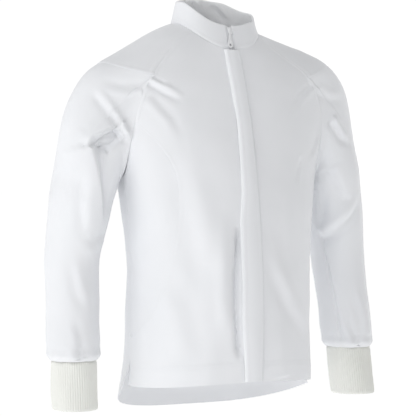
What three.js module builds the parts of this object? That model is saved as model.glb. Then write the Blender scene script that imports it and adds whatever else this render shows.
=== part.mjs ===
// White zip-front work jacket with a stand collar, a storm flap, set-in two-piece sleeves and rib cuffs.
// Millimetres, +Z up, the wearer faces -Y and the wearer's left is +X.
import * as THREE from "three";
import { ParametricGeometry } from "three/addons/geometries/ParametricGeometry.js";
import { mergeGeometries, mergeVertices } from "three/addons/utils/BufferGeometryUtils.js";

// ---------- driving dimensions ----------
const cloth = 1.2; // thickness of a body or sleeve panel
const liningCloth = 1.0; // thickness of the collar lining and the facings
const edgeStep = 0.012; // share of a panel that its turned edge takes
const sideTrim = 0.02; // share cut from the side panel's two points
const seamGap = cloth / 2; // clearance left at every seam between two panels
const layerGap = 0.8; // clearance between cloth layers that lie on each other
const sleeveGap = 0.5 + cloth / 2; // clearance between the armhole edge and the sleeve head

// The centre front is one arc in the YZ plane, so that the slider can travel along it.
const frontArc = { y: 1458, z: 186, radius: 1626 };

// Torso rings from below the tail to the neck: heights at side, front and back,
// half width, depth of the widest line and depth of the back.
const rings = [
  { side: -40, front: -40, back: -40, half: 196, mid: 0, rear: 139 },
  { side: 60, front: 60, back: 60, half: 193, mid: 0, rear: 136 },
  { side: 180, front: 180, back: 180, half: 189, mid: 0, rear: 130 },
  { side: 300, front: 300, back: 300, half: 188, mid: 0, rear: 126 },
  { side: 400, front: 400, back: 400, half: 197, mid: 0, rear: 135 },
  { side: 480, front: 480, back: 480, half: 210, mid: 0, rear: 145 },
  { side: 545, front: 540, back: 545, half: 226, mid: 0, rear: 149 },
  { side: 603, front: 584, back: 603, half: 240, mid: 0, rear: 147 },
  { side: 656, front: 624, back: 654, half: 250, mid: 2, rear: 136 },
  { side: 707, front: 657, back: 700, half: 252, mid: 8, rear: 114 },
  { side: 747, front: 692, back: 746, half: 168, mid: 12, rear: 92 },
  { side: 779, front: 735, back: 789, half: 88.5, mid: 12, rear: 74 },
];
const flatness = 0.87; // superellipse power of a torso section, 1 is a plain ellipse
const armpitRing = 5;
const shoulderRing = 9;
const neckRing = 11;

const frontHem = { side: 63, centre: 76 }; // heights above the lowest point of the tail
const tailCorner = 47; // height of the tail's side corners
const tailCurve = 2.2; // how late the tail's hem turns up towards its corners
const ventTop = 115; // height where the side seam ends and the vent begins
const ventFlare = 14; // how far the tail's corners stand out of the front hem
const frontEdge = 6.3; // distance of each front's zip edge from the centre
// The princess seam from the side seam up to the armhole: heights and degrees from the centre.
const princessSeam = [
  { z: 160, degrees: 89 },
  { z: 200, degrees: 72 },
  { z: 250, degrees: 60 },
  { z: 330, degrees: 49 },
  { z: 410, degrees: 41.5 },
  { z: 490, degrees: 38.5 },
  { z: 545, degrees: 44 },
  { z: 590, degrees: 55 },
];

const armholeWidth = 49; // degrees that the armhole takes of a torso ring at the yoke
const armholePower = 0.62; // how quickly the armhole opens above the armpit
const yokeAtShoulder = 41; // degrees from the centre front to the yoke seam
const yokeAtNeck = 55;

// Sleeve: centre line, half widths across and along the body, from armpit level to the cuff seam.
const arm = [
  { x: 279, y: 22, z: 462, across: 64, along: 74, lean: 14 },
  { x: 289, y: 28, z: 415, across: 60, along: 71, lean: 12 },
  { x: 302, y: 33, z: 322, across: 53, along: 65, lean: 6 },
  { x: 309, y: 18, z: 215, across: 51, along: 61, lean: 2 },
  { x: 312, y: 8, z: 152, across: 52, along: 58.5, lean: 1 },
  { x: 313, y: 4, z: 123, across: 44.6, along: 49.6, lean: 0 },
];
const headReach = 1.05; // fullness of the sleeve head
const elbowRing = 2; // the sleeve is divided here for the elbow joint
const elbowGap = 0.6;
const foreSeam = 150; // degrees round the arm from its outer side to the front seam
const hindSeam = 232;
const cuffLength = 98;
const cuffThick = 2.2;
const cuff = { top: [44, 49], bottom: [44.5, 48], shiftX: 3, shiftY: -16 };

const collar = { front: 782, side: 824, back: 839, half: 81, mid: 8, rear: 63 };
const liningInset = 3.7; // the collar lining and the facings lie this far inside the shell
const facingWidth = 58;

const flap = { right: -20, left: 20, thick: 1.6, lift: 6.6, edgeLift: 1.3, split: 375 };
const flapTaper = { from: 480, right: 4.5, left: 5.5 }; // narrower towards the neck
const flapHem = 78; // the flap ends just above the front hem
const flapAxisX = 18.5;

const tape = { inner: 1, outer: 15, thick: 0.8, depth: -2 };
const teeth = { inner: 0.35, outer: 3.1, thick: 1.6 };
const zipBottom = 88; // height of the bottom box
const zipTop = 776; // height of the top end of the teeth
const slider = { width: 9.6, length: 13, thick: 1.8, height: 770 };
const pull = { length: 44, top: 4.4, bottom: 11.5, thick: 1.2, hole: 3 };
const runGap = 0.35; // running clearance of the slider and the pull

const loop = { width: 7, thick: 1, span: 62, drop: 16 };
const label = { width: 34, height: 22, thick: 0.5 };
const hold = { y: 66, z: 792 }; // the neck line at centre back, where a hanger carries the jacket

// ---------- helpers ----------
const rad = THREE.MathUtils.degToRad;
const lerp = THREE.MathUtils.lerp;
const materials = {
  cloth: new THREE.MeshStandardMaterial({ color: 0xeceef1, roughness: 0.82, metalness: 0 }),
  lining: new THREE.MeshStandardMaterial({ color: 0xdfe1e4, roughness: 0.86, metalness: 0 }),
  rib: new THREE.MeshStandardMaterial({ color: 0xf0f0ea, roughness: 0.92, metalness: 0 }),
  tape: new THREE.MeshStandardMaterial({ color: 0xe6e7e9, roughness: 0.8, metalness: 0 }),
  plastic: new THREE.MeshStandardMaterial({ color: 0xe9eaeb, roughness: 0.45, metalness: 0 }),
};

const jacket = new THREE.Group();
jacket.position.set(0, -hold.y, -hold.z);

function add(name, geometry, material, parent = jacket) {
  const mesh = new THREE.Mesh(geometry, material);
  mesh.name = name;
  parent.add(mesh);
  return mesh;
}

// Catmull-Rom value of one field of a list at a fractional index.
function along(list, key, t) {
  const i = Math.min(Math.max(Math.floor(t), 0), list.length - 2);
  const s = t - i;
  const p1 = list[i][key];
  const p2 = list[i + 1][key];
  const p0 = i > 0 ? list[i - 1][key] : 2 * p1 - p2;
  const p3 = i + 2 < list.length ? list[i + 2][key] : 2 * p2 - p1;
  const bend = (2 * p0 - 5 * p1 + 4 * p2 - p3) * s * s;
  return 0.5 * (2 * p1 + (p2 - p0) * s + bend + (3 * p1 - p0 - 3 * p2 + p3) * s * s * s);
}

// The ring index whose field has a value, on a rising field.
function ringAt(list, key, value) {
  let low = 0;
  let high = list.length - 1;
  for (let n = 0; n < 40; n++) {
    const middle = (low + high) / 2;
    const above = (along(list, key, middle) - value) * Math.sign(list[1][key] - list[0][key]) > 0;
    if (above) high = middle;
    else low = middle;
  }
  return low;
}

// Depth of the centre front at a height, lift in front of it.
function frontDepth(z, lift = 0) {
  const r = frontArc.radius + lift;
  return frontArc.y - Math.sqrt(r * r - (z - frontArc.z) ** 2);
}

const power = (v, p) => Math.sign(v) * Math.abs(v) ** p;

// A point of a section ring: degrees run from the centre front, positive to the wearer's left.
function onRing(ring, degrees) {
  const c = Math.cos(rad(degrees));
  const s = Math.sin(rad(degrees));
  const level = c > 0 ? ring.front : ring.back;
  const depth = c > 0 ? frontDepth(ring.front) - ring.mid : -(ring.rear - ring.mid);
  return new THREE.Vector3(
    ring.half * power(s, flatness),
    ring.mid + depth * power(c, flatness),
    lerp(ring.side, level, c * c),
  );
}

function torso(degrees, t) {
  const ring = {};
  for (const key of ["side", "front", "back", "half", "mid", "rear"]) ring[key] = along(rings, key, t);
  return onRing(ring, degrees);
}

function collarPoint(degrees, share) {
  const neck = rings[neckRing];
  const ring = {};
  for (const key of ["side", "front", "back", "half", "mid", "rear"]) {
    ring[key] = lerp(neck[key], collar[key], share);
  }
  return onRing(ring, degrees);
}

// The angle at which a surface is a given distance from the centre plane near the front.
function frontAngle(half, x) {
  return THREE.MathUtils.radToDeg(Math.asin((x / half) ** (1 / flatness)));
}

function normalAt(surface, u, v) {
  const e = 1e-3;
  const du = surface(u + e, v).sub(surface(u - e, v));
  const dv = surface(u, v + e).sub(surface(u, v - e));
  return du.cross(dv).normalize();
}

function closed(geometry) {
  geometry.deleteAttribute("normal");
  geometry.deleteAttribute("uv");
  const merged = mergeVertices(geometry, 1e-3);
  const p = merged.attributes.position;
  const index = [];
  let volume = 0;
  const a = new THREE.Vector3();
  const b = new THREE.Vector3();
  const c = new THREE.Vector3();
  for (let i = 0; i < merged.index.count; i += 3) {
    const [i0, i1, i2] = [0, 1, 2].map((k) => merged.index.getX(i + k));
    if (i0 === i1 || i1 === i2 || i0 === i2) continue;
    a.fromBufferAttribute(p, i0);
    b.fromBufferAttribute(p, i1);
    c.fromBufferAttribute(p, i2);
    volume += a.dot(b.cross(c));
    index.push(i0, i1, i2);
  }
  if (volume < 0) for (let i = 0; i < index.length; i += 3) index.splice(i, 2, index[i + 1], index[i]);
  merged.setIndex(index);
  return merged;
}

// Even steps between two values, with a narrow first and last step for the turned edge.
function steps(from, to, count, lip = edgeStep) {
  const list = [from, from + lip];
  for (let k = 1; k < count; k++) list.push(lerp(from, to, k / count));
  return [...list, to - lip, to];
}

// A closed shell of one cloth panel. surface(u, v) is its middle over the listed u and v, and the
// thickness runs out to nothing on its four edges. Both faces have their diagonals the same way.
function panel(surface, thick, us, vs) {
  const face = (side) =>
    new ParametricGeometry(
      (a, b, target) => {
        const column = Math.round(a * (us.length - 1));
        const row = Math.round(b * (vs.length - 1));
        const edge = column % (us.length - 1) === 0 || row % (vs.length - 1) === 0;
        target.copy(surface(us[column], vs[row]));
        if (!edge) target.addScaledVector(normalAt(surface, us[column], vs[row]), (side * thick) / 2);
      },
      us.length - 1,
      vs.length - 1,
    );
  const inner = face(-1);
  const turned = inner.index.array;
  for (let i = 0; i < turned.length; i += 3) [turned[i], turned[i + 1]] = [turned[i + 1], turned[i]];
  return closed(mergeGeometries([face(1), inner]));
}

const flip = (surface) => (u, v) => surface(u, v).multiply(new THREE.Vector3(-1, 1, 1));

// One panel for the wearer's left and its mirror image for the right.
function pair(name, surface, thick, us, vs, material) {
  add(`${name}_left`, panel(surface, thick, us, vs), material);
  add(`${name}_right`, panel(flip(surface), thick, us, vs), material);
}

// ---------- seam lines on the torso, in degrees at a ring index ----------
const princessFoot = ringAt(rings, "side", princessSeam[0].z);
const princessRing = ringAt(rings, "side", princessSeam[princessSeam.length - 1].z);

function armholeEdge(t) {
  const share = THREE.MathUtils.clamp((t - armpitRing) / (shoulderRing - armpitRing), 0, 1);
  return 90 - armholeWidth * share ** armholePower;
}

function princess(t) {
  const line = along(princessSeam, "degrees", ringAt(princessSeam, "z", along(rings, "side", t)));
  const top = armholeEdge(princessRing) - princessSeam[princessSeam.length - 1].degrees;
  return line + top * ((t - princessFoot) / (princessRing - princessFoot)) ** 3;
}

function frontOuter(t) {
  if (t < princessFoot) return 90;
  if (t < princessRing) return princess(t);
  if (t < shoulderRing) return armholeEdge(t);
  return lerp(yokeAtShoulder, yokeAtNeck, (t - shoulderRing) / (neckRing - shoulderRing));
}

// Degrees that a length along a ring takes, so that gaps keep their width.
const degreesOf = (length, t) => THREE.MathUtils.radToDeg(length / along(rings, "half", t));
function ringsOf(length, t) {
  return length / Math.abs(along(rings, "side", t + 0.5) - along(rings, "side", t - 0.5));
}

// ---------- body panels ----------
const hemRing = ringAt(rings, "side", frontHem.side);
const hemRise = ringAt(rings, "front", frontHem.centre) - hemRing;
const yokeRing = shoulderRing + ringsOf(seamGap / 2, shoulderRing);
const collarRing = neckRing - ringsOf(seamGap, 10);
const princessRows = steps(princessFoot, princessRing, 11);
const frontRows = [
  ...steps(hemRing, princessFoot, 2).slice(0, -2),
  ...princessRows.filter((t, k) => k !== 1 && k !== princessRows.length - 2),
  ...steps(princessRing, shoulderRing, 5).slice(2, -2),
  ...steps(shoulderRing, collarRing, 4).slice(2),
];

// The front hem rises from the side seam to the centre front.
function frontPanel(u, row) {
  const rise = Math.cos((u * Math.PI) / 2) ** 2 * hemRise;
  const t = row + rise * Math.max(0, (princessFoot - row) / (princessFoot - hemRing));
  const inner = frontAngle(along(rings, "half", t), frontEdge);
  return torso(lerp(inner, frontOuter(t) - degreesOf(seamGap / 2, t), u), t);
}

function frontSide(u, t) {
  const inner = princess(t) + degreesOf(seamGap / 2, t);
  const edge = t < armpitRing ? 90 : armholeEdge(t);
  return torso(lerp(inner, edge - degreesOf(seamGap / 2, t), u), t);
}

function backPanel(u, v) {
  const side = 2 * u - 1; // -1 at the right side seam, 1 at the left one
  const reach = Math.abs(side);
  const low = ringAt(rings, "back", tailCorner * reach ** tailCurve);
  const t = lerp(low, shoulderRing - ringsOf(seamGap, shoulderRing), v);
  const edge = 180 - (t < armpitRing ? 90 : armholeEdge(t)) + degreesOf(seamGap / 2, t);
  const point = torso(180 - side * (180 - edge), t);
  const flare = Math.max(0, 1 - point.z / ventTop) * reach ** 6;
  point.x += Math.sign(side) * ventFlare * flare;
  return point;
}

function yoke(u, t) {
  const edge = frontOuter(t) + degreesOf(seamGap / 2, t);
  return torso(lerp(edge, 360 - edge, u), t);
}

function addBody() {
  pair("front", frontPanel, cloth, steps(0, 1, 7), frontRows, materials.cloth);
  const sideRows = princessRows.map((t) => lerp(t, princessRing / 2, sideTrim));
  pair("front_side", frontSide, cloth, steps(0, 1, 4, 0.02), sideRows, materials.cloth);
  add("back_panel", panel(backPanel, cloth, steps(0, 1, 20), steps(0, 1, 19)), materials.cloth);
  const yokeRows = steps(yokeRing, collarRing, 6);
  add("shoulder_yoke", panel(yoke, cloth, steps(0, 1, 26, 0.006), yokeRows), materials.cloth);
}

// ---------- collar, facings, loop and label ----------
// Moves a surface of the left half inwards by a distance along its normal.
const inset = (surface, distance) => (u, v) =>
  surface(u, v).addScaledVector(normalAt(surface, u, v), -distance);

function collarBand(u, v) {
  const half = lerp(rings[neckRing].half, collar.half, v);
  const edge = frontAngle(half, frontEdge);
  return collarPoint(lerp(edge, 360 - edge, u), v);
}

function facing(u, t) {
  const half = along(rings, "half", t);
  const width = Math.min(facingWidth, 0.55 * half);
  return torso(lerp(frontAngle(half, frontEdge), frontAngle(half, width), u), t);
}

// The loop hangs from the collar lining at centre back.
function hangerLoop() {
  const end = collarPoint(180 - frontAngle(rings[neckRing].half, loop.span / 2), 0.1);
  const y = end.y - liningInset - (liningCloth + loop.thick) / 2 - 2 * layerGap;
  const points = [-1, -0.55, 0, 0.55, 1].map((s) => {
    return new THREE.Vector3((s * loop.span) / 2, y, end.z - loop.drop * (1 - s * s));
  });
  const [w, h] = [loop.width / 2, loop.thick / 2];
  const shape = new THREE.Shape([
    new THREE.Vector2(-h, -w),
    new THREE.Vector2(h, -w),
    new THREE.Vector2(h, w),
    new THREE.Vector2(-h, w),
  ]);
  const path = new THREE.CatmullRomCurve3(points);
  return closed(new THREE.ExtrudeGeometry(shape, { steps: 20, extrudePath: path }));
}

// A blank label on the inside of the yoke at centre back.
function labelPatch(u, v) {
  const t = lerp(10.25, 10.25 + ringsOf(label.height, 10.5), v);
  const spread = degreesOf(label.width, t);
  return torso(180 + lerp(-spread / 2, spread / 2, u), t);
}

function addNeck() {
  const around = steps(0, 1, 26, 0.006);
  const up = steps(0, 1, 3, 0.03);
  add("collar_outer", panel(collarBand, cloth, around, up), materials.cloth);
  const lining = inset(collarBand, liningInset);
  add("collar_lining", panel(lining, liningCloth, around, up), materials.lining);
  const facingRows = steps(ringAt(rings, "front", flapHem + 2), neckRing - 0.1, 16);
  const inside = inset(facing, liningInset);
  pair("front_facing", inside, liningCloth, steps(0, 1, 3, 0.03), facingRows, materials.lining);
  add("hanger_loop", hangerLoop(), materials.tape);
  const tag = inset(labelPatch, cloth / 2 + layerGap / 2 + label.thick / 2);
  add("size_label", panel(tag, label.thick, steps(0, 1, 2, 0.04), steps(0, 1, 2, 0.04)), materials.tape);
}

// ---------- zip ----------
// A strip along the centre-front arc between two heights, from one side to another.
function strip(left, right, low, high, lift) {
  return (u, v) => {
    const z = lerp(low, high, v);
    return new THREE.Vector3(lerp(left, right, u), frontDepth(z, lift), z);
  };
}

function zipPull() {
  const shape = new THREE.Shape();
  const [w, b, l] = [pull.top / 2, pull.bottom / 2, pull.length];
  shape.moveTo(-w, 0);
  shape.lineTo(-w, -l * 0.3);
  shape.bezierCurveTo(-w, -l * 0.6, -b, -l * 0.66, -b, -l + b);
  shape.absarc(0, -l + b, b, Math.PI, 2 * Math.PI, false);
  shape.bezierCurveTo(b, -l * 0.66, w, -l * 0.6, w, -l * 0.3);
  shape.lineTo(w, 0);
  const hole = new THREE.Path();
  hole.absarc(0, -l + b + 1, pull.hole, 0, 2 * Math.PI, true);
  shape.holes.push(hole);
  const made = new THREE.ExtrudeGeometry(shape, { depth: pull.thick, bevelEnabled: false, curveSegments: 8 });
  return closed(made.rotateX(Math.PI / 2));
}

function addZip() {
  const tapeStrip = strip(tape.inner, tape.outer, flapHem + 3, zipTop + 2, tape.depth);
  pair("zip_tape", tapeStrip, tape.thick, steps(0, 1, 2, 0.04), steps(0, 1, 20), materials.tape);
  const teethStrip = strip(teeth.inner, teeth.outer, zipBottom + 6, zipTop - 8, 0);
  pair("zip_teeth", teethStrip, teeth.thick, steps(0, 1, 1, 0.14), steps(0, 1, 20, 0.002), materials.plastic);

  const box = new THREE.BoxGeometry(2 * teeth.outer + 1, 2.2, 8);
  const boxMesh = add("zip_bottom_box", closed(box), materials.plastic);
  boxMesh.position.set(0, frontDepth(zipBottom), zipBottom);
  boxMesh.rotation.x = -Math.asin((zipBottom - frontArc.z) / frontArc.radius);

  // The carriage turns about the far centre of the arc, so its own origin is on the arc.
  const carriage = new THREE.Group();
  carriage.position.set(0, frontDepth(slider.height), slider.height);
  carriage.rotation.x = -Math.asin((slider.height - frontArc.z) / frontArc.radius);
  jacket.add(carriage);
  const body = new THREE.BoxGeometry(slider.width, slider.thick, slider.length, 1, 1, 1);
  const lift = teeth.thick / 2 + runGap + slider.thick / 2;
  add("zip_slider", closed(body), materials.plastic, carriage).position.set(0, -lift, 0);
  const pullLift = lift + slider.thick / 2 + runGap;
  const pullMesh = add("zip_pull", zipPull(), materials.plastic, carriage);
  pullMesh.position.set(0, -pullLift, slider.length / 2 - 2);
}

// ---------- storm flap ----------
// The flap stands proud over the zip and comes down to the fronts at both edges.
function flapPart(low, high) {
  return (u, v) => {
    const z = lerp(low, high, v);
    const taper = THREE.MathUtils.smoothstep(z, flapTaper.from, rings[neckRing].front);
    const arch = Math.sin(Math.PI * THREE.MathUtils.clamp(u, 0, 1)) ** 0.5;
    return new THREE.Vector3(
      lerp(flap.right + flapTaper.right * taper, flap.left - flapTaper.left * taper, u),
      frontDepth(z, lerp(flap.edgeLift, flap.lift, arch)),
      z,
    );
  };
}

function addFlap() {
  const top = rings[neckRing].front - 4;
  const across = steps(0, 1, 7);
  const upper = panel(flapPart(flap.split + seamGap, top), flap.thick, across, steps(0, 1, 12));
  add("storm_flap_upper", upper, materials.cloth);
  const narrow = (flapAxisX - 1 - flap.right) / (flap.left - flap.right);
  const part = flapPart(flapHem, flap.split);
  const lower = panel((u, v) => part(u * narrow, v), flap.thick, across, steps(0, 1, 8));
  add("storm_flap_lower", lower, materials.cloth);
}

// ---------- sleeves ----------
const cornerShare = 0.26; // share of the half turn from the shoulder tip to the yoke corner

// The armhole's edge round the arm: 0 degrees is the shoulder tip, 90 the front, 180 the armpit.
function armhole(angle) {
  const turn = ((angle % 360) + 360) % 360;
  const front = turn <= 180;
  const share = front ? turn / 180 : (360 - turn) / 180;
  let degrees;
  let t;
  if (share < cornerShare) {
    t = shoulderRing;
    degrees = 90 - armholeWidth * (share / cornerShare);
  } else {
    t = lerp(shoulderRing, armpitRing, (share - cornerShare) / (1 - cornerShare));
    degrees = armholeEdge(t);
  }
  return torso(front ? degrees : 180 - degrees, t);
}

function armPoint(angle, t, grow = 0) {
  const c = {};
  for (const key of ["x", "y", "z", "across", "along", "lean"]) c[key] = along(arm, key, t);
  const x = (c.across + grow) * Math.cos(rad(angle));
  return new THREE.Vector3(
    c.x + x * Math.cos(rad(c.lean)),
    c.y - (c.along + grow) * Math.sin(rad(angle)),
    c.z + x * Math.sin(rad(c.lean)),
  );
}

// The sleeve head leaves the armhole along the shoulder and turns down into the arm.
function sleeveHead(angle, s) {
  const start = armhole(angle);
  const end = armPoint(angle, 0);
  const reach = start.distanceTo(end) * headReach;
  const high = 0.5 + 0.5 * Math.cos(rad(angle));
  const out = new THREE.Vector3(lerp(0.45, 0.86, high), 0.42 * Math.sin(rad(angle)), lerp(-0.85, -0.5, high));
  start.addScaledVector(out.normalize(), sleeveGap);
  const down = armPoint(angle, 0.05).sub(end).normalize();
  const [s2, s3] = [s * s, s * s * s];
  return start
    .multiplyScalar(2 * s3 - 3 * s2 + 1)
    .addScaledVector(out, (s3 - 2 * s2 + s) * reach)
    .addScaledVector(end, 3 * s2 - 2 * s3)
    .addScaledVector(down, (s3 - s2) * reach);
}

// Upper sleeve from the armhole to the elbow, forearm from the elbow to the cuff seam.
const headShare = 0.62;
const elbowCut = elbowGap / 2 / (arm[elbowRing - 1].z - arm[elbowRing].z);

function upperSleeve(angle, v) {
  if (v < headShare) return sleeveHead(angle, v / headShare);
  return armPoint(angle, ((v - headShare) / (1 - headShare)) * (elbowRing - elbowCut));
}

function foreSleeve(angle, v) {
  return armPoint(angle, lerp(elbowRing + elbowCut, arm.length - 1, v));
}

const seamDegrees = 0.5;
const sector = (surface, from, to) => (u, v) =>
  surface(lerp(from + seamDegrees / 2, to - seamDegrees / 2, u), v);

function ribCuff(angle, v, grow) {
  const wrist = arm[arm.length - 1];
  const across = lerp(cuff.top[0], cuff.bottom[0], v) + grow;
  const deep = lerp(cuff.top[1], cuff.bottom[1], v) + grow;
  return new THREE.Vector3(
    wrist.x + cuff.shiftX * v + across * Math.cos(rad(angle)),
    wrist.y + cuff.shiftY * v - deep * Math.sin(rad(angle)),
    wrist.z - seamGap - v * cuffLength,
  );
}

// A ring-shaped wall: down the outside and back up the inside.
function cuffRing(mirror) {
  const rows = [0, 0.35, 0.7, 1, 1, 0.5, 0];
  return closed(
    new ParametricGeometry(
      (u, v, target) => {
        const k = Math.round(v * rows.length) % rows.length;
        target.copy(ribCuff(360 * u, rows[k], k < 4 ? 0 : -cuffThick));
        target.x *= mirror;
      },
      28,
      rows.length,
    ),
  );
}

function addSleeves() {
  for (const [side, mirror] of [["left", 1], ["right", -1]]) {
    const turned = (surface) => (mirror > 0 ? surface : flip(surface));
    const parts = [
      ["sleeve_upper_top", upperSleeve, hindSeam - 360, foreSeam, 17, 14],
      ["sleeve_upper_under", upperSleeve, foreSeam, hindSeam, 6, 14],
      ["sleeve_fore_top", foreSleeve, hindSeam - 360, foreSeam, 14, 9],
      ["sleeve_fore_under", foreSleeve, foreSeam, hindSeam, 5, 9],
    ];
    for (const [name, surface, from, to, columns, rows] of parts) {
      const cut = turned(sector(surface, from, to));
      const shell = panel(cut, cloth, steps(0, 1, columns, 0.006), steps(0, 1, rows));
      add(`${name}_${side}`, shell, materials.cloth);
    }
    add(`rib_cuff_${side}`, cuffRing(mirror), materials.rib);
  }
}

addBody();
addNeck();
addZip();
addFlap();
addSleeves();

export default jacket;
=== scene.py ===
import math
import bpy
import bmesh
import numpy as np
from mathutils import Matrix, Vector


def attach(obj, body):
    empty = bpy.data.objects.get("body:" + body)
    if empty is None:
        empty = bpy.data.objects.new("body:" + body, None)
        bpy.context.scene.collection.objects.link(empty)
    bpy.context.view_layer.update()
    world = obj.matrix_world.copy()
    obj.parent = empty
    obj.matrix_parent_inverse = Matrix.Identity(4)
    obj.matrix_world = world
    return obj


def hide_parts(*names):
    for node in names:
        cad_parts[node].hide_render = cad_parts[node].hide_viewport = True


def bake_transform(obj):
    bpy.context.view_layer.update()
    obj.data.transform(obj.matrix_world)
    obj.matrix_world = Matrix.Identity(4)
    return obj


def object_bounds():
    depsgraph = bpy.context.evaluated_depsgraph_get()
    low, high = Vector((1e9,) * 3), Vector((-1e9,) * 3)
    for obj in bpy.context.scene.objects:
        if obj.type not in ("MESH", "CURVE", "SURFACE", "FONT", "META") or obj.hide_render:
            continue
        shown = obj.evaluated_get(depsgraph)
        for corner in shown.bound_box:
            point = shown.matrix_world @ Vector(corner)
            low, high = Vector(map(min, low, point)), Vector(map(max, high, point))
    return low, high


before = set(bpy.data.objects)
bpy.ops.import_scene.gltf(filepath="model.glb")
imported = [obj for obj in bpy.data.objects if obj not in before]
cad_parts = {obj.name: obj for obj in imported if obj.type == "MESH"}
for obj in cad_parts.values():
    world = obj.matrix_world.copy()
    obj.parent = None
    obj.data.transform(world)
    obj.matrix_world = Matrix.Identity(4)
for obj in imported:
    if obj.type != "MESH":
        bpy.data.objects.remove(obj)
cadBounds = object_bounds()

# Garment measures in millimetres: z runs up from the lowest point of the tail, the wearer faces -Y.
hold = np.array([0.0, 66.0, 792.0])  # neck line at centre back, the origin of the frame
frontArc = {"y": 1458, "z": 186, "radius": 1626}
torsoRings = {
    "side": [-40, 60, 180, 300, 400, 480, 545, 603, 656, 707, 747, 779],
    "front": [-40, 60, 180, 300, 400, 480, 540, 584, 624, 657, 692, 735],
    "back": [-40, 60, 180, 300, 400, 480, 545, 603, 654, 700, 746, 789],
    "half": [196, 193, 189, 188, 197, 210, 226, 240, 250, 252, 168, 88.5],
    "mid": [0, 0, 0, 0, 0, 0, 0, 0, 2, 8, 12, 12],
    "rear": [139, 136, 130, 126, 135, 145, 149, 147, 136, 114, 92, 74],
}
collarTop = {"side": 824, "front": 782, "back": 839, "half": 81, "mid": 8, "rear": 63}
armRings = {
    "x": [279, 289, 302, 309, 312, 313],
    "y": [22, 28, 33, 18, 8, 4],
    "z": [462, 415, 322, 215, 152, 123],
    "across": [64, 60, 53, 51, 52, 44.6],
    "along": [74, 71, 65, 61, 58.5, 49.6],
    "lean": [14, 12, 6, 2, 1, 0],
}
princessSeam = {
    "z": [160, 200, 250, 330, 410, 490, 545, 590],
    "degrees": [89, 72, 60, 49, 41.5, 38.5, 44, 55],
}
cut = {
    "flatness": 0.87, "armpit": 5, "shoulder": 9, "neck": 11, "zipEdge": 6.3,
    "sideHem": 63, "frontHem": 76, "tailCorner": 47, "tailCurve": 2.2,
    "ventTop": 115, "ventFlare": 14, "armholeWidth": 49, "armholePower": 0.62,
    "yokeShoulder": 41, "yokeNeck": 55, "yokeCorner": 0.26,
}
seamGap = 0.3


# shape functions, all on arrays of values
def smooth(x):
    x = np.clip(x, 0, 1)
    return x * x * (3 - 2 * x)


def bell(x):
    return np.exp(-x * x)


def mix(a, b, share):
    return a + (b - a) * share


def along(values, t):
    v = np.array(values, float)
    t = np.asarray(t, float)
    i = np.clip(np.floor(t).astype(int), 0, len(v) - 2)
    s = t - i
    p1, p2 = v[i], v[i + 1]
    p0 = np.where(i > 0, v[np.maximum(i - 1, 0)], 2 * p1 - p2)
    p3 = np.where(i + 2 < len(v), v[np.minimum(i + 2, len(v) - 1)], 2 * p2 - p1)
    bend = 2 * p0 - 5 * p1 + 4 * p2 - p3
    return 0.5 * (2 * p1 + (p2 - p0) * s + bend * s * s + (3 * p1 - p0 - 3 * p2 + p3) * s ** 3)


def ringAt(values, height):
    steps = np.linspace(0, len(values) - 1, 2001)
    return np.interp(height, along(values, steps), steps)


def frontDepth(z, lift=0.0):
    return frontArc["y"] - np.sqrt((frontArc["radius"] + lift) ** 2 - (z - frontArc["z"]) ** 2)


def power(value, p):
    return np.sign(value) * np.abs(value) ** p


def onRing(ring, degrees):
    c, s = np.cos(np.radians(degrees)), np.sin(np.radians(degrees))
    level = np.where(c > 0, ring["front"], ring["back"])
    depth = np.where(c > 0, frontDepth(ring["front"]) - ring["mid"], ring["mid"] - ring["rear"])
    x = ring["half"] * power(s, cut["flatness"])
    y = ring["mid"] + depth * power(c, cut["flatness"])
    return np.stack([x, y, mix(ring["side"], level, c * c)], -1)


def torso(degrees, t):
    return onRing({k: along(v, t) for k, v in torsoRings.items()}, degrees)


def collarPoint(degrees, share):
    neck = {k: v[cut["neck"]] for k, v in torsoRings.items()}
    return onRing({k: mix(neck[k], collarTop[k], share) for k in neck}, degrees)


def frontAngle(half, x):
    return np.degrees(np.arcsin(np.clip(x / half, 0, 1) ** (1 / cut["flatness"])))


def degreesOf(length, t):
    return np.degrees(length / along(torsoRings["half"], t))


princessFoot = float(ringAt(torsoRings["side"], princessSeam["z"][0]))
princessTop = float(ringAt(torsoRings["side"], princessSeam["z"][-1]))


def armholeEdge(t):
    share = np.clip((t - cut["armpit"]) / (cut["shoulder"] - cut["armpit"]), 0, 1)
    return 90 - cut["armholeWidth"] * share ** cut["armholePower"]


def princess(t):
    line = along(princessSeam["degrees"], ringAt(princessSeam["z"], along(torsoRings["side"], t)))
    top = armholeEdge(princessTop) - princessSeam["degrees"][-1]
    return line + top * np.clip((t - princessFoot) / (princessTop - princessFoot), 0, 1) ** 3


def frontOuter(t):
    yoke = mix(cut["yokeShoulder"], cut["yokeNeck"], (t - cut["shoulder"]) / (cut["neck"] - cut["shoulder"]))
    return np.where(t < princessFoot, 90, np.where(t < princessTop, princess(t),
                    np.where(t < cut["shoulder"], armholeEdge(t), yoke)))


def frontPanel(u, v):
    low = ringAt(torsoRings["side"], cut["sideHem"])
    row = mix(low, cut["neck"] - 0.01, v)
    rise = np.cos(u * math.pi / 2) ** 2 * (ringAt(torsoRings["front"], cut["frontHem"]) - low)
    t = row + rise * np.clip((princessFoot - row) / (princessFoot - low), 0, 1.2)
    inner = frontAngle(along(torsoRings["half"], t), cut["zipEdge"])
    return torso(mix(inner, frontOuter(t) - degreesOf(seamGap, t), u), t)


def sidePanel(u, v):
    t = mix(princessFoot + 0.03, princessTop - 0.03, v)
    edge = np.where(t < cut["armpit"], 90, armholeEdge(t))
    return torso(mix(princess(t) + degreesOf(seamGap, t), edge - degreesOf(seamGap, t), u), t)


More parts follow.
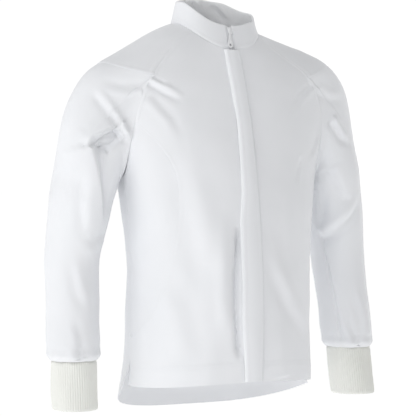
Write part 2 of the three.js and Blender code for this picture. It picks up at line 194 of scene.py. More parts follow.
def backPanel(u, v):
    side = 1 - 2 * u  # from the wearer's left round to the right, so that its normals point outwards
    reach = np.abs(side)
    low = ringAt(torsoRings["back"], cut["tailCorner"] * reach ** cut["tailCurve"])
    t = mix(low, cut["shoulder"] - 0.012, v)
    edge = 180 - np.where(t < cut["armpit"], 90, armholeEdge(t)) + degreesOf(seamGap, t)
    point = torso(180 - side * (180 - edge), t)
    flare = np.clip(1 - point[..., 2] / cut["ventTop"], 0, 1) * reach ** 6
    point[..., 0] += np.sign(side) * cut["ventFlare"] * flare
    return point


def yokePanel(u, v):
    t = mix(cut["shoulder"] + 0.012, cut["neck"] - 0.01, v)
    edge = frontOuter(t) + degreesOf(seamGap, t)
    return torso(mix(edge, 360 - edge, u), t)


def armhole(angle):
    turn = np.mod(angle, 360)
    front = turn <= 180
    share = np.where(front, turn, 360 - turn) / 180
    corner = cut["yokeCorner"]
    t = np.where(share < corner, cut["shoulder"],
                 mix(cut["shoulder"], cut["armpit"], (share - corner) / (1 - corner)))
    degrees = np.where(share < corner, 90 - cut["armholeWidth"] * share / corner, armholeEdge(t))
    return torso(np.where(front, degrees, 180 - degrees), t)


def armPoint(angle, t):
    c = {k: along(v, t) for k, v in armRings.items()}
    x = c["across"] * np.cos(np.radians(angle))
    lean = np.radians(c["lean"])
    y = c["y"] - c["along"] * np.sin(np.radians(angle))
    return np.stack([c["x"] + x * np.cos(lean), y, c["z"] + x * np.sin(lean)], -1)


def sleeveHead(angle, s):
    start, end = armhole(angle), armPoint(angle, 0 * s)
    reach = np.linalg.norm(start - end, axis=-1, keepdims=True) * 1.05
    high = 0.5 + 0.5 * np.cos(np.radians(angle))
    out = np.stack([mix(0.45, 0.86, high), 0.42 * np.sin(np.radians(angle)), mix(-0.85, -0.5, high)], -1)
    out /= np.linalg.norm(out, axis=-1, keepdims=True)
    start = start + out * 0.4
    down = armPoint(angle, 0 * s + 0.05) - end
    down /= np.linalg.norm(down, axis=-1, keepdims=True)
    s = s[..., None]
    a, b = 2 * s ** 3 - 3 * s ** 2 + 1, (s ** 3 - 2 * s ** 2 + s) * reach
    return start * a + out * b + end * (1 - a) + down * (s ** 3 - s ** 2) * reach


def sleevePoint(angle, s):  # 0 at the armhole, 1 where the arm's own rings begin, then one per ring
    head = sleeveHead(angle, np.clip(s, 0, 1))
    return np.where((s < 1)[..., None], head, armPoint(angle, np.maximum(s - 1, 0)))


# materials
def linear(hexColour):
    values = [int(hexColour[i:i + 2], 16) / 255 for i in (1, 3, 5)]
    return (*[v / 12.92 if v <= 0.04045 else ((v + 0.055) / 1.055) ** 2.4 for v in values], 1)


def addNode(tree, kind, settings=None, **links):
    node = tree.nodes.new(kind)
    for key, value in (settings or {}).items():
        if key in node.inputs:
            node.inputs[key].default_value = value
        else:
            setattr(node, key, value)
    for key, source in links.items():
        tree.links.new(source, node.inputs[key.replace("_", " ")])
    return node


def newMaterial(name, colour, roughness, **shader):
    material = bpy.data.materials.new(name)
    material.use_nodes = True
    tree = material.node_tree
    surface = tree.nodes["Principled BSDF"]
    surface.inputs["Base Color"].default_value = linear(colour)
    surface.inputs["Roughness"].default_value = roughness
    for key, value in shader.items():
        surface.inputs[key.replace("_", " ")].default_value = value
    material.diffuse_color = linear(colour)
    return material, tree, surface


def wovenMaterial(name, colour, shade, threadMm, slant, depth, roughness=0.86):
    # two crossing sets of threads as bump, with a slow change of tone like cloth that has been washed
    material, tree, surface = newMaterial(name, colour, roughness, Sheen_Weight=0.18, Sheen_Roughness=0.5)
    place = addNode(tree, "ShaderNodeTexCoord")
    flat = addNode(tree, "ShaderNodeMapping", {"Rotation": (0, 0, slant)}, Vector=place.outputs["UV"])
    bands = 2 * math.pi / 20 * 1000 / threadMm  # a wave repeats every 2 pi / 20 of its scaled length
    warp = addNode(tree, "ShaderNodeTexWave", {"Scale": bands, "Distortion": 0.6, "Detail": 1.0},
                   Vector=flat.outputs["Vector"])
    weft = addNode(tree, "ShaderNodeTexWave", {"Scale": bands * 0.8, "bands_direction": "Y"},
                   Vector=flat.outputs["Vector"])
    slub = addNode(tree, "ShaderNodeTexNoise", {"Scale": 420.0, "Detail": 3.0}, Vector=place.outputs["UV"])
    weave = addNode(tree, "ShaderNodeMix", {"data_type": "RGBA", "Factor": 0.35},
                    A=warp.outputs["Color"], B=weft.outputs["Color"])
    rough = addNode(tree, "ShaderNodeMix", {"data_type": "RGBA", "Factor": 0.3},
                    A=weave.outputs["Result"], B=slub.outputs["Color"])
    bump = addNode(tree, "ShaderNodeBump", {"Strength": depth, "Distance": 0.0004},
                   Height=rough.outputs["Result"])
    tree.links.new(bump.outputs["Normal"], surface.inputs["Normal"])
    patch = addNode(tree, "ShaderNodeTexNoise", {"Scale": 9.0, "Detail": 2.0}, Vector=place.outputs["Object"])
    tone = addNode(tree, "ShaderNodeMix", {"data_type": "RGBA", "A": linear(colour), "B": linear(shade)},
                   Factor=patch.outputs["Fac"])
    tree.links.new(tone.outputs["Result"], surface.inputs["Base Color"])
    return material


# the real threads lie 0.3 to 0.6 mm apart, too fine to show, so each weave is drawn two to four times coarser
# polyester-cotton twill, bleached: dull and even, with a very fine slanting line
twill = wovenMaterial("polyesterCottonTwill", "#EDEEF1", "#E8EAED", 1.2, math.radians(58), 0.35)
# plain-woven lining, whiter than the shell: partly its own tone, partly painted light that brightens the
# shaded inside of the collar
liningWeaveWithPaintedLight = wovenMaterial("plainWovenLiningPaintedLight", "#FAFBFC", "#F5F6F8", 0.9, 0.0, 0.25)
# herringbone-like woven tape, tighter and flatter
tapeWeave = wovenMaterial("wovenPolyesterTape", "#E9EAEC", "#E3E4E7", 1.4, math.radians(40), 0.5, 0.75)
# cotton rib knit: soft, slightly creamy, with small loops in rows
ribKnit = wovenMaterial("cottonRibKnit", "#ECEDE9", "#E5E6E0", 1.6, math.radians(90), 0.6, 0.92)
# spun polyester sewing thread: a little brighter than the cloth
sewingThread = newMaterial("spunPolyesterThread", "#F0F1F3", 0.6)[0]


def mouldedNylon():
    # injection-moulded nylon: satin, with the faint orange-peel of the mould
    material, tree, surface = newMaterial("mouldedNylon", "#E9EAEC", 0.42, IOR=1.53)
    place = addNode(tree, "ShaderNodeTexCoord")
    peel = addNode(tree, "ShaderNodeTexNoise", {"Scale": 900.0, "Detail": 2.0},
                   Vector=place.outputs["Object"])
    bump = addNode(tree, "ShaderNodeBump", {"Strength": 0.12, "Distance": 0.0002}, Height=peel.outputs["Fac"])
    tree.links.new(bump.outputs["Normal"], surface.inputs["Normal"])
    return material


nylon = mouldedNylon()


# folds: listed creases, each a short line over the cloth
def onFront(x, z, lift=0.0):
    t = ringAt(torsoRings["side"], z)
    for _ in range(12):  # the rings tilt at the chest, so the height is met by steps
        angle = np.sign(x) * frontAngle(along(torsoRings["half"], t), abs(x))
        t = t + (z - torso(angle, t)[..., 2]) / 50
    return torso(angle, t)


def foldHeight(points, normals, folds):
    height = np.zeros(len(points))
    for fold in folds:
        line = np.array(fold["line"], float)
        reach = 3 * fold["width"] + fold.get("fade", 0) * 3 + 12
        near = np.all((points > line.min(0) - reach) & (points < line.max(0) + reach), axis=1)
        if not near.any():
            continue
        p, n = points[near], normals[near]
        pieces = np.linalg.norm(np.diff(line, axis=0), axis=1)
        total, gone = pieces.sum(), 0.0
        best = np.full(len(p), 1e9)
        across, spill, share = np.zeros(len(p)), np.zeros(len(p)), np.zeros(len(p))
        for a, b, length in zip(line[:-1], line[1:], pieces):
            way = (b - a) / length
            run = (p - a) @ way
            held = np.clip(run, 0, length)
            off = p - (a + held[:, None] * way)
            distance = np.linalg.norm(off, axis=1)
            side = np.cross(way, n)
            side /= np.linalg.norm(side, axis=1, keepdims=True) + 1e-9
            closer = distance < best
            best = np.where(closer, distance, best)
            across = np.where(closer, np.einsum("ij,ij->i", off, side), across)
            spill = np.where(closer, np.abs(run - held), spill)
            share = np.where(closer, (gone + held) / total, share)
            gone += length
        ends = fold.get("ends", (0.3, 0.3))
        taper = smooth(share / max(ends[0], 0.01)) * smooth((1 - share) / max(ends[1], 0.01))
        deep = np.exp(-(np.maximum(best - np.abs(across), 0) / 45) ** 2)  # not through to the far side
        taper = taper * bell(spill / (fold["width"] + 2)) * deep
        q = across / fold["width"]
        if fold["kind"] == "valley":
            form = -bell(q)
        elif fold["kind"] == "ridge":
            form = bell(q)
        elif fold["kind"] == "roll":  # a ridge on one side of the line, a valley on the other
            form = bell(q + 0.8) - bell(q - 0.8)
        else:  # a ledge: the cloth steps back on the far side of the line and comes out again slowly
            fall = np.maximum(across, 0)
            form = 0.35 * bell(np.minimum(across, 0) / (3 * fold["width"]))
            form -= 1.35 * smooth(fall / fold["width"]) * np.exp(-fall / fold["fade"])
        height[near] += fold["depth"] * taper * form
    return height


def freeFold(kind, depth, width, line, **more):
    return {"kind": kind, "depth": depth, "width": width, "line": line, **more}


def frontFold(kind, depth, width, line, **more):
    return freeFold(kind, depth, width, [onFront(x, z) for x, z in line], **more)


def onBack(x, z):
    t = float(ringAt(torsoRings["side"], z))
    half = float(along(torsoRings["half"], t))
    return torso(180 - np.sign(x) * frontAngle(half, abs(x)), t)


def backFold(kind, depth, width, line, **more):
    return freeFold(kind, depth, width, [onBack(x, z) for x, z in line], **more)


bodyFolds = [
    # from the wearer's right yoke corner across the chest
    frontFold("roll", 4.2, 7, [(-186, 668), (-160, 652), (-118, 628)], ends=(0.05, 0.6)),
    frontFold("valley", 3.6, 4.5, [(-180, 676), (-146, 656)], ends=(0.1, 0.5)),
    frontFold("roll", -2.0, 10, [(-190, 640), (-150, 590), (-130, 540)], ends=(0.1, 0.6)),
    # from the wearer's left corner
    frontFold("roll", 2.0, 8, [(182, 662), (150, 640), (118, 600)], ends=(0.05, 0.6)),
    frontFold("valley", 2.2, 6, [(139, 523), (120, 487), (116, 462)]),
    frontFold("roll", 1.8, 9, [(197, 560), (178, 530), (150, 505)], ends=(0.05, 0.6)),
    # the long fold beside the flap
    frontFold("valley", 13.0, 7, [(-29, 392), (-31, 345), (-37, 292), (-38, 215), (-33, 150), (-30, 118)],
              ends=(0.15, 0.12)),
    frontFold("ridge", 5.5, 15, [(-56, 420), (-64, 330), (-66, 240), (-58, 150)], ends=(0.4, 0.3)),
    # wide drapes of the lower front
    frontFold("roll", 4.2, 26, [(-150, 560), (-120, 430), (-96, 300), (-104, 180)], ends=(0.4, 0.3)),
    frontFold("roll", 3.2, 16, [(28, 345), (50, 290), (90, 220), (150, 150)], ends=(0.3, 0.25)),
    frontFold("ridge", 2.6, 20, [(96, 470), (84, 380), (100, 300)], ends=(0.4, 0.4)),
    frontFold("roll", -3.0, 22, [(-172, 300), (-140, 220), (-120, 120)], ends=(0.4, 0.3)),
    frontFold("valley", 1.6, 3, [(28, 122), (29, 104)]),
    frontFold("ridge", 2.0, 18, [(60, 210), (64, 130), (70, 80)], ends=(0.5, 0.05)),
    frontFold("ridge", 2.2, 20, [(-84, 200), (-90, 120), (-92, 66)], ends=(0.5, 0.05)),
    # the back: from the armholes, down the middle and across the waist
    backFold("roll", 3.4, 22, [(-150, 640), (-110, 560), (-90, 470)], ends=(0.2, 0.6)),
    backFold("roll", -3.4, 22, [(150, 640), (112, 560), (94, 460)], ends=(0.2, 0.6)),
    backFold("ridge", 3.5, 26, [(-40, 600), (-34, 420), (-40, 220)], ends=(0.4, 0.4)),
    backFold("ridge", 3.0, 24, [(52, 560), (44, 380), (56, 180)], ends=(0.4, 0.4)),
    backFold("roll", 3.6, 24, [(-170, 360), (-100, 320), (-30, 330)], ends=(0.3, 0.5)),
    backFold("roll", 3.2, 20, [(168, 330), (110, 290), (50, 300)], ends=(0.3, 0.5)),
    backFold("valley", 4.0, 18, [(0, 300), (-6, 160), (0, 60)], ends=(0.5, 0.3)),
    backFold("ridge", 3.0, 22, [(112, 220), (120, 120), (118, 50)], ends=(0.4, 0.1)),
    backFold("ridge", 3.0, 22, [(-116, 240), (-120, 140), (-112, 50)], ends=(0.4, 0.1)),
]

waves = [  # slow unevenness of hanging cloth: direction, wavelength in mm, phase, height
    ((1.0, 0.3, 0.25), 170, 0.4, 0.8), ((-0.4, 1.0, 0.35), 143, 2.1, 0.7), ((0.5, -0.5, 0.9), 121, 4.0, 0.55),
    ((0.9, 0.7, -0.3), 83, 1.2, 0.34), ((-0.8, 0.4, 0.6), 61, 5.1, 0.24), ((0.3, 0.9, 0.8), 44, 3.3, 0.13),
]


def unevenness(points):
    total = np.zeros(len(points))
    for direction, length, phase, height in waves:
        way = np.array(direction) / np.linalg.norm(direction)
        total += height * np.sin(points @ way * (2 * math.pi / length) + phase)
    return total


hang = {  # how far each place rises, then where it is and how wide
    "rightShoulder": (8.5, 112, 62), "rightArm": (-6.5, 232, 40), "leftShoulder": (-5.0, 190),
    "collarDip": (9.0, 74, 26), "collarLift": (5.0, 46, 26), "from": 640,
}


def settle(points):
    # the jacket stands a little higher on the wearer's right shoulder and lower on the left
    x, y, z = points.T
    rise, place, width = hang["rightShoulder"]
    right = rise * bell((x + place) / width)
    rise, place, width = hang["rightArm"]
    right += rise * bell((x + place) / width)
    rise, reach = hang["leftShoulder"]
    left = rise * np.sin(math.pi * np.clip(x / reach, 0, 1)) * (1 + np.clip((z - 775) / 45, 0, 1.2))
    rise, place, width = hang["collarDip"]
    dip = rise * bell((x - place) / width) * bell((y + 28) / 34) * smooth((z - 765) / 40)
    rise, place, width = hang["collarLift"]
    lift = rise * bell((x - place) / width) * smooth((y - 20) / 40) * smooth((z - 775) / 50)
    points[:, 2] += (right + left) * smooth((z - hang["from"]) / 110) + lift - dip
    return points


# cloth panels
edgeBand = [0, 0.35, 0.8, 1.3, 1.8, 2.3, 3.1, 4.2, 5.2, 5.8, 6.3, 6.8, 7.5, 8.5, 10.5, 13.5]
closeRow, farRow = 4, 10  # where the two rows of stitches lie in the band
hemTurn = {"width": 26, "rows": [17, 20, 22.4, 24, 25.5, 27, 30], "stitched": 24, "thick": 0.7, "groove": 0.4}
seamAllowance = {"reach": 2.2, "depth": 0.75, "lap": 1.3}
seamShape = {"round": (0.55, 0.7), "layer": 0.55, "ends": 6.6, "groove": (0.28, 0.7), "grooves": (1.8, 6.3),
             "under": (0.6, 1.2), "free": (0.1, 0.6)}  # pairs are depth and width
seamDepths = {"princess": 0.35, "sidePanel": 0.5, "side": 0.25, "yoke": 0.55, "sleeve": 0.45}


def dent(pair, d):
    return pair[0] * bell(d / pair[1])


def edgeHeight(kind, d):
    if kind == "lap":
        band = seamShape["layer"] * (1 - smooth((d - seamShape["ends"]) / 1.8))
        near, far = [dent(seamShape["groove"], d - place) for place in seamShape["grooves"]]
        return -dent(seamShape["round"], d) + band - near - far
    return -dent(seamShape[kind], d) if kind in seamShape else 0 * d


def measured(surface, axis):
    grid = np.linspace(0.001, 0.999, 25)
    u, v = np.meshgrid(grid, grid, indexing="ij")
    points = surface(u.ravel(), v.ravel()).reshape(25, 25, 3)
    return grid, np.linalg.norm(np.diff(points, axis=axis), axis=-1).sum(axis)


def spaced(index, count, low, high, size):
    n, m = len(low), len(high)
    shrink = np.minimum(1, size / (1.3 * (low[-1] + high[-1]))) / size
    near = np.array(low)[np.minimum(index, n - 1)] * shrink
    far = 1 - np.array(high)[np.minimum(count - index, m - 1)] * shrink
    share = np.clip((index - n + 1) / (count - n - m + 2), 0, 1)
    return np.where(index < n, near, np.where(count - index < m, far,
                    mix(low[-1] * shrink, 1 - high[-1] * shrink, share)))


def gridMesh(columns, rows):
    bm = bmesh.new()
    bmesh.ops.create_grid(bm, x_segments=columns, y_segments=rows, size=0.5, calc_uvs=True)
    spots = np.array([v.co[:2] for v in bm.verts]) + 0.5
    return bm, np.rint(spots[:, 0] * columns).astype(int), np.rint(spots[:, 1] * rows).astype(int)


def surfaceNormals(surface, u, v, sign):
    e = 2e-4
    across = surface(u + e, v) - surface(u - e, v)
    up = surface(u, v + e) - surface(u, v - e)
    normal = np.cross(across, up)
    return sign * normal / (np.linalg.norm(normal, axis=-1, keepdims=True) + 1e-12)


def stitchLine(bm, points, normals, stitch):
    steps = np.linalg.norm(np.diff(points, axis=0), axis=1)
    run = np.concatenate([[0], np.cumsum(steps)])
    count = int(run[-1] / stitch["pitch"])
    for k in range(count):
        at = (k + 0.5) * run[-1] / count
        ends = [np.array([np.interp(at + d, run, points[:, i]) for i in range(3)]) for d in (-0.9, 0.9)]
        up = np.array([np.interp(at, run, normals[:, i]) for i in range(3)])
        way = Vector(ends[1] - ends[0]).normalized()
        out = (Vector(up) - Vector(up).dot(way) * way).normalized()
        turn = Matrix((way, out.cross(way), out)).transposed().to_4x4()
        middle = Vector((ends[0] + ends[1]) / 2 + up * stitch["proud"])
        size = Matrix.Diagonal((stitch["length"] / 2, stitch["thick"] / 2, stitch["thick"] / 2.6, 1))
        place = Matrix.Translation((middle - Vector(hold)) / 1000) @ turn @ size
        bmesh.ops.create_icosphere(bm, subdivisions=1, radius=0.001, matrix=place)


stitch = {"pitch": 3.2, "length": 2.5, "thick": 0.62, "proud": 0.42}


def newObject(name, bm, *finishes):
    mesh = bpy.data.meshes.new(name)
    bm.to_mesh(mesh)
    bm.free()
    obj = bpy.data.objects.new(name, mesh)
    bpy.context.scene.collection.objects.link(obj)
    for finish in finishes:
        mesh.materials.append(finish)
    return obj


def finishCloth(name, bm, thick, *finishes):
    obj = newObject(name, bm, *finishes)
    wall = obj.modifiers.new("wall", "SOLIDIFY")
    wall.thickness, wall.offset = thick / 1000, 0
    bpy.context.view_layer.update()
    walled = bpy.data.meshes.new_from_object(obj.evaluated_get(bpy.context.evaluated_depsgraph_get()))
    obj.modifiers.clear()
    obj.data = walled
    walled.shade_smooth()
    walled.set_sharp_from_angle(angle=math.radians(50))
    return obj


def joinThread(obj, thread):
    for face in thread.faces:
        face.material_index, face.smooth = 1, True
    loose = bpy.data.meshes.new("loose")
    thread.to_mesh(loose)
    thread.free()
    both = bmesh.new()
    both.from_mesh(obj.data)
    both.from_mesh(loose)
    both.to_mesh(obj.data)
    both.free()
    bpy.data.meshes.remove(loose)


def makePanel(name, surface, edges, folds=(), side=1, coarse=4.6, hem=False, thick=0.8, bulge=None,
              relief=None, inset=0.0, uneven=1.0, seamLines=True, seamDepth=1.0, finish=twill):
    # edges: how the panel ends at u=0, u=1, v=0 and v=1; seamDepth makes its seams fainter in places
    def placed(u, v):
        point = surface(u, v)
        point[..., 0] *= side
        return point

    grid, widths = measured(placed, 0)
    _, heights = measured(placed, 1)
    wide, tall = widths.max(), heights.max()
    band = edgeBand if seamLines else edgeBand[::3]
    lowBand = band + hemTurn["rows"] if hem else band
    columns = 2 * len(band) + max(4, int((wide - 2 * band[-1]) / coarse))
    rows = len(band) + len(lowBand) + max(4, int((tall - band[-1] - lowBand[-1]) / coarse))
    bm, column, row = gridMesh(columns, rows)
    rough = column / columns
    v = spaced(row, rows, lowBand, band, np.interp(rough, grid, heights))
    u = spaced(column, columns, band, band, np.interp(v, grid, widths))
    points = placed(u, v)
    normals = surfaceNormals(placed, u, v, side)
    wholeWidth, wholeHeight = np.interp(v, grid, widths), np.interp(u, grid, heights)
    gaps = {"left": u * wholeWidth, "right": (1 - u) * wholeWidth,
            "low": v * wholeHeight, "high": (1 - v) * wholeHeight}
    plain = seamDepth(u, v) if callable(seamDepth) else seamDepth
    height = plain * sum(edgeHeight(kind, gaps[key]) for key, kind in zip(gaps, edges))
    if hem:
        height += hemTurn["thick"] * (1 - smooth((gaps["low"] - hemTurn["width"] + 1) / 2))
        height -= hemTurn["groove"] * bell((gaps["low"] - hemTurn["stitched"]) / 0.9)
    if relief:
        height += relief(points)
    deep = inset(gaps) if callable(inset) else inset
    height = height + foldHeight(points, normals, folds) + uneven * unevenness(points) - deep
    if bulge:
        points = points + bulge(points, u, v)
    allowance = {"left": (column, 0, 1), "right": (column, columns, columns - 1),
                 "low": (row, 0, 1), "high": (row, rows, rows - 1)}
    for key, kind in zip(gaps, edges):
        index, rim, inner = allowance[key]
        if kind in ("under", "lap") and seamLines:  # one cloth reaches under the other, so no slot shows
            other = row if index is column else column
            edge, inside = (np.flatnonzero(index == k) for k in (rim, inner))
            edge, inside = edge[np.argsort(other[edge])], inside[np.argsort(other[inside])]
            out = points[edge] - points[inside]
            out /= np.linalg.norm(out, axis=1, keepdims=True) + 1e-9
            points[edge] += out * seamAllowance["reach" if kind == "under" else "lap"]
            height[edge] -= seamAllowance["depth"] * (kind == "under")
    points = settle(points + normals * height[:, None])
    for vertex, point in zip(bm.verts, points):
        vertex.co = Vector((point - hold) / 1000)
    uvLayer = bm.loops.layers.uv.verify()
    flatU = (u - 0.5) * wholeWidth / 1000
    flatV = v * wholeHeight / 1000
    bm.verts.index_update()
    for face in bm.faces:
        for loop in face.loops:
            k = loop.vert.index
            loop[uvLayer].uv = (flatU[k], flatV[k])
    if side < 0:
        bmesh.ops.reverse_faces(bm, faces=bm.faces[:])
    obj = finishCloth(name, bm, thick, finish, sewingThread)
    lines = []
    for key, kind in zip(("left", "right", "low", "high"), edges):
        if kind == "lap" and seamLines:
            for k in (closeRow, farRow):
                lines.append({"left": column == k, "right": column == columns - k,
                              "low": row == k, "high": row == rows - k}[key])
    if hem:
        lines.append(row == lowBand.index(hemTurn["stitched"]))
    thread = bmesh.new()
    for line in lines:
        chosen = np.flatnonzero(line & (plain > 0.9))
        if len(chosen) < 2:
            continue
        steady = column[chosen] if np.ptp(row[chosen]) == 0 else row[chosen]
        chosen = chosen[np.argsort(steady)]
        stitchLine(thread, points[chosen], normals[chosen], stitch)
    joinThread(obj, thread)
    obj["flatWidth"], obj["flatHeight"] = wide / 1000, tall / 1000
    obj["flatArea"] = float(widths.mean() * heights.mean() / 1e6)
    return obj


# the shell
sides = {"left": 1, "right": -1}


def standFor(obj, slot, *nodes):
    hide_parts(*nodes)


def sewOn(obj, slot, node):
    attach(obj, "shell")
    standFor(obj, slot, node)


def frontSeams(u, v):  # the curved seam of the side panel is pressed flat, the armhole is topstitched
    low = float(ringAt(torsoRings["side"], cut["sideHem"]))
    t = mix(low, cut["neck"], v)
    return mix(seamDepths["princess"], 1.0, smooth((t - princessTop) / 0.12))


def makeFronts():
    for name, side in sides.items():
        front = makePanel(f"frontPanel_{name}", frontPanel, ("free", "lap", "free", "under"), bodyFolds,
                          side, hem=True, seamDepth=frontSeams)
        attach(front, "shell")
        standFor(front, "shell_cloth", f"front_{name}")
        panel = makePanel(f"sidePanel_{name}", sidePanel, ("under",) * 4, bodyFolds, side,
                          seamDepth=seamDepths["sidePanel"])
        sewOn(panel, "shell_cloth", f"front_side_{name}")


tailSpread = {"width": 18, "from": 118}


def spreadTail(points, u, v):  # below the vents the tail stands out past the fronts
    moved = np.zeros_like(points)
    reach = np.abs(2 * u - 1) ** 4
    fall = smooth(1 - points[:, 2] / tailSpread["from"])
    moved[:, 0] = np.sign(points[:, 0]) * tailSpread["width"] * reach * fall
    return moved


def backSeams(u, v):
    return mix(seamDepths["side"], 1.0, smooth((v - 0.62) / 0.05))


def yokeSeams(u, v):
    return mix(seamDepths["yoke"], 1.0, smooth(np.abs(2 * u - 1) * 3 - 2))


def makeBack():
    back = makePanel("backPanel", backPanel, ("lap", "lap", "free", "under"), bodyFolds, hem=True,
                     bulge=spreadTail, seamDepth=backSeams)
    sewOn(back, "shell_cloth", "back_panel")
    yoke = makePanel("yokePanel", yokePanel, ("lap", "lap", "lap", "under"), bodyFolds, uneven=0.6,
                     seamDepth=yokeSeams)
    sewOn(yoke, "shell_cloth", "shoulder_yoke")


makeFronts()
makeBack()
print("shell done")

# collar
collarShape = {"layers": 3.7, "roll": 3.0}


def collarBand(u, v):
    half = mix(torsoRings["half"][cut["neck"]], collarTop["half"], v)
    edge = frontAngle(half, cut["zipEdge"])
    return collarPoint(mix(edge, 360 - edge, u), v)


def rolled(gap):
    return 1 - np.sqrt(1 - np.clip(1 - gap / collarShape["roll"], 0, 1) ** 2)


def nearestEdge(gaps):
    return np.minimum(np.minimum(gaps["left"], gaps["right"]), gaps["high"])


def outerRoll(gaps):
    return collarShape["layers"] / 2 * rolled(nearestEdge(gaps))


def innerRoll(gaps):
    return collarShape["layers"] * (1 - rolled(nearestEdge(gaps)) / 2)


liningFolds = [
    freeFold("roll", 4.6, 6, [(-58, 44, 838), (-40, 58, 815), (-26, 66, 796)], ends=(0.2, 0.4)),
    freeFold("roll", 4.2, 6, [(-22, 62, 838), (0, 70, 812), (16, 74, 794)], ends=(0.2, 0.4)),
    freeFold("roll", 4.0, 6, [(20, 62, 836), (42, 58, 815), (56, 50, 798)], ends=(0.2, 0.4)),
]


def makeCollar():
    outer = makePanel("collarOuter", collarBand, ("none", "none", "lap", "none"), (), inset=outerRoll,
                      coarse=4, uneven=0.35)
    sewOn(outer, "shell_cloth", "collar_outer")
    # the lining colour carries painted light, lifted to brighten the shaded inside of the collar
    lining = makePanel("collarLining", collarBand, ("none", "none", "under", "none"), liningFolds,
                       inset=innerRoll, coarse=4, uneven=0.5, finish=liningWeaveWithPaintedLight)
    sewOn(lining, "lining", "collar_lining")


makeCollar()

# storm flap
flapShape = {"hem": 78, "top": 731, "lift": 6.6, "edgeLift": 1.3, "freeLift": 1.5, "thick": 1.9,
             "bendTop": 455, "bendFoot": 345, "bendAcross": 0.02}
flapEdges = {  # heights, and how far the free edge and the sewn edge stand from the centre
    "z": [76, 200, 390, 452, 590, 690, 735],
    "free": [-19, -27, -25, -16.5, -13, -18, -20],
    "sewn": [18, 18.3, 18.3, 18, 18.4, 14.5, 13],
}


def stormFlap(u, v):
    z = mix(flapShape["hem"], flapShape["top"], v)
    arch = np.sin(math.pi * np.clip(u, 0, 1)) ** 0.5
    loose = flapShape["freeLift"] + 0.4 * np.sin(z / 37) + 0.3 * np.sin(z / 19 + 1)
    low = mix(loose, flapShape["edgeLift"], smooth(u * 2.5))
    free, sewn = [np.interp(z, flapEdges["z"], flapEdges[edge]) for edge in ("free", "sewn")]
    x = mix(free, sewn, u)
    return np.stack([x, frontDepth(z, mix(low, flapShape["lift"], arch)), z], -1)


def makeFlap():
    flap = makePanel("stormFlap", stormFlap, ("lap", "lap", "free", "none"), (), thick=flapShape["thick"],
                     uneven=0.4, coarse=4)
    standFor(flap, "shell_cloth", "storm_flap_upper", "storm_flap_lower")
    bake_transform(flap)


makeFlap()
print("collar and flap done")

# sleeves
sleeveCut = {"fore": 150, "hind": 232, "split": 1.75, "end": 6, "seam": 0.25}


def sleevePart(fromAngle, toAngle, start, end):
    gap = sleeveCut["seam"]
    return lambda u, v: sleevePoint(mix(fromAngle + gap, toAngle - gap, u), mix(start, end, v))


def onSleeve(side, angle, s):
    point = sleevePoint(np.array([float(angle)]), np.array([float(s)]))[0]
    return point * np.array([side, 1, 1])


upperArmSwell = {"left": (-9.0, 85), "right": (3.5, 110), "height": 560}  # out, and over what height


def sleeveShift(name, side):
    out, spread = upperArmSwell[name]

    def shift(points, u, v):
        moved = np.zeros_like(points)
        outer = smooth((np.abs(points[:, 0]) - 250) / 80)
        moved[:, 0] = side * out * bell((points[:, 2] - upperArmSwell["height"]) / spread) * outer
        return moved
    return shift


rightSleeveFolds = [
    # the cloth overhangs the inner arm in an arch below the chest
    freeFold("ledge", 17.0, 6, [(-299, -44, 538), (-291, -45, 557), (-268, -54, 570), (-246, -58, 577),
                               (-226, -56, 552)], ends=(0.12, 0.12), fade=105),
    freeFold("roll", 4.8, 7, [(-282, -30, 650), (-248, -46, 598), (-216, -53, 546)], ends=(0.2, 0.1)),
    freeFold("roll", 2.6, 9, [(-196, -70, 655), (-230, -52, 650), (-275, -25, 660)], ends=(0.05, 0.5)),
    freeFold("ledge", 20.0, 13, [(-264, -38, 380), (-276, -50, 440), (-286, -54, 495), (-294, -49, 545)],
             ends=(0.4, 0.04), fade=58),
    freeFold("roll", 3.0, 12, [(-300, -50, 500), (-312, -48, 430), (-300, -36, 350)], ends=(0.3, 0.4)),
    freeFold("roll", 2.8, 10, [(-255, -10, 365), (-285, -32, 345), (-320, -34, 352)], ends=(0.1, 0.5)),
    freeFold("roll", 2.4, 12, [(-336, -38, 330), (-320, -44, 260), (-300, -48, 215)], ends=(0.4, 0.3)),
    freeFold("roll", 2.2, 9, [(-322, -48, 128), (-326, -50, 165), (-338, -44, 215)], ends=(0.02, 0.6)),
    freeFold("valley", 3.6, 3.4, [(-322, -46, 124), (-322, -50, 150)], ends=(0.01, 0.5)),
    freeFold("ridge", 2.8, 9, [(-336, -38, 128), (-334, -46, 158)], ends=(0.05, 0.6)),
]
leftSleeveFolds = [
    freeFold("roll", 4.6, 8, [(236, -56, 596), (262, -50, 560), (300, -40, 540)], ends=(0.05, 0.5)),
    freeFold("roll", 2.6, 9, [(196, -70, 655), (232, -52, 640), (285, -25, 640)], ends=(0.05, 0.5)),
    freeFold("roll", 3.0, 13, [(240, -40, 500), (272, -46, 440), (310, -40, 430)], ends=(0.1, 0.5)),
    freeFold("roll", 8.0, 12, [(243, 8, 350), (262, -16, 364), (290, -36, 400), (318, -40, 446)],
             ends=(0.04, 0.5)),
    freeFold("valley", 5.0, 9, [(236, 0, 352), (244, -12, 400), (246, -22, 460)], ends=(0.05, 0.5)),
    freeFold("valley", 3.4, 2.6, [(246, 6, 350), (256, -6, 290), (268, -18, 220), (282, -30, 132)],
             ends=(0.06, 0.03)),
    freeFold("roll", 2.4, 10, [(300, -49, 250), (318, -46, 190), (322, -42, 140)], ends=(0.4, 0.1)),
    freeFold("valley", 3.4, 3.4, [(311, -46, 124), (314, -50, 152)], ends=(0.01, 0.5)),
    freeFold("roll", 2.2, 7, [(300, -46, 128), (286, -46, 165), (280, -40, 200)], ends=(0.02, 0.6)),
]
elbowBack = [  # short folds at the back of each elbow
    ("roll", 3.0, 12, [(250, 40, 380), (290, 92, 350), (330, 70, 355)]),
    ("roll", 3.0, 12, [(262, 60, 300), (300, 96, 290), (340, 60, 300)]),
    ("roll", 2.6, 12, [(240, 60, 540), (270, 96, 500), (320, 80, 480)]),
]


